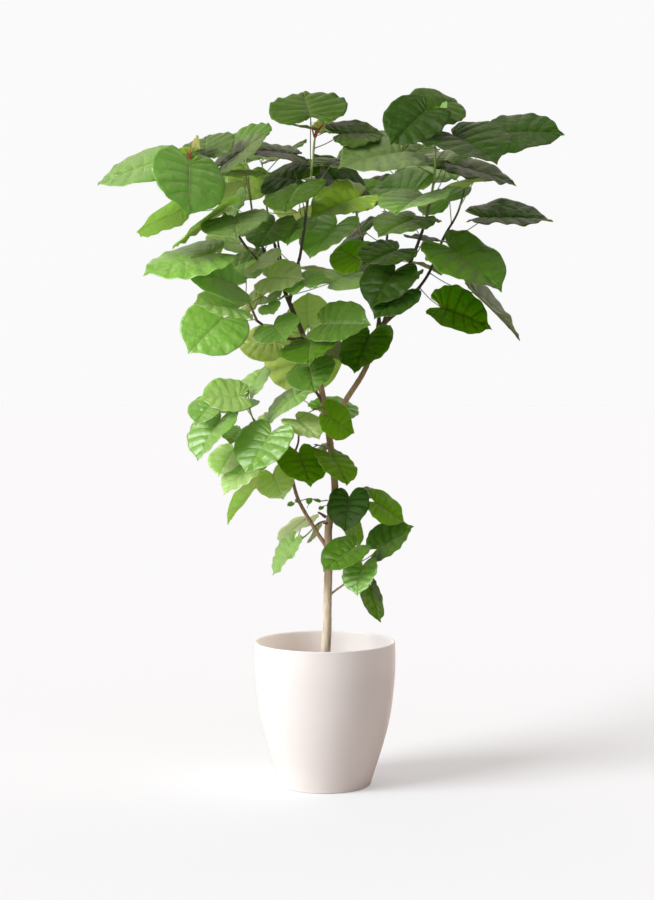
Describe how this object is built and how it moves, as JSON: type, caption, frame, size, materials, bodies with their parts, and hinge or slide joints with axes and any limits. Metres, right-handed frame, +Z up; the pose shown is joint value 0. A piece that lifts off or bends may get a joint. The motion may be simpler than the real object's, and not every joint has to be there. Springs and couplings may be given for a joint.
{
  "type": "potted ficus umbellata",
  "caption": "Tall indoor fig with a slim forked trunk and large round heart-shaped leaves on long stalks, growing in a plain smooth round planter that narrows to its foot.",
  "frame": {"origin": "middle of the planter's flat underside, on the floor", "axes": "+Z up along the planter; +X to the right and +Y away from the viewer of the picture"},
  "size_m": [1.1048, 0.6654, 1.6242],
  "materials": {
    "pot": "gloss",
    "soil": "matte",
    "bark": "matte",
    "twig": "matte",
    "leaf": "satin",
    "young_leaf": "satin"
  },
  "bodies": {
    "root": {"pot": "pot", "soil": "soil", "trunk": "bark", "bough_left": "twig", "bough_left_outer": "twig", "bough_left_inner": "twig", "bough_dead": "twig", "bough_centre": "twig", "bough_back_left": "twig", "bough_left_low": "twig", "bough_right": "bark", "bough_right_top": "twig", "bough_right_outer": "twig", "bough_centre_right": "twig", "bough_back_right": "twig", "bough_low_left": "twig", "bough_low_right": "twig", "stub_fork": "twig", "stub_low_left": "twig", "foliage_left_top": "leaf", "foliage_left_inner": "leaf", "foliage_left_low": "leaf", "foliage_centre_top": "leaf", "foliage_centre_right": "leaf", "foliage_right_inner": "leaf", "foliage_right_top": "leaf", "foliage_right_outer": "leaf", "foliage_middle": "leaf", "foliage_middle_left": "leaf", "foliage_middle_back": "leaf", "foliage_trunk_upper": "leaf", "foliage_trunk_lower": "leaf", "foliage_low_right": "leaf", "foliage_lowest_right": "leaf", "foliage_low_left": "young_leaf", "foliage_low_left_small": "leaf", "foliage_back_left": "leaf", "foliage_back_right": "leaf"}
  },
  "joints": []
}
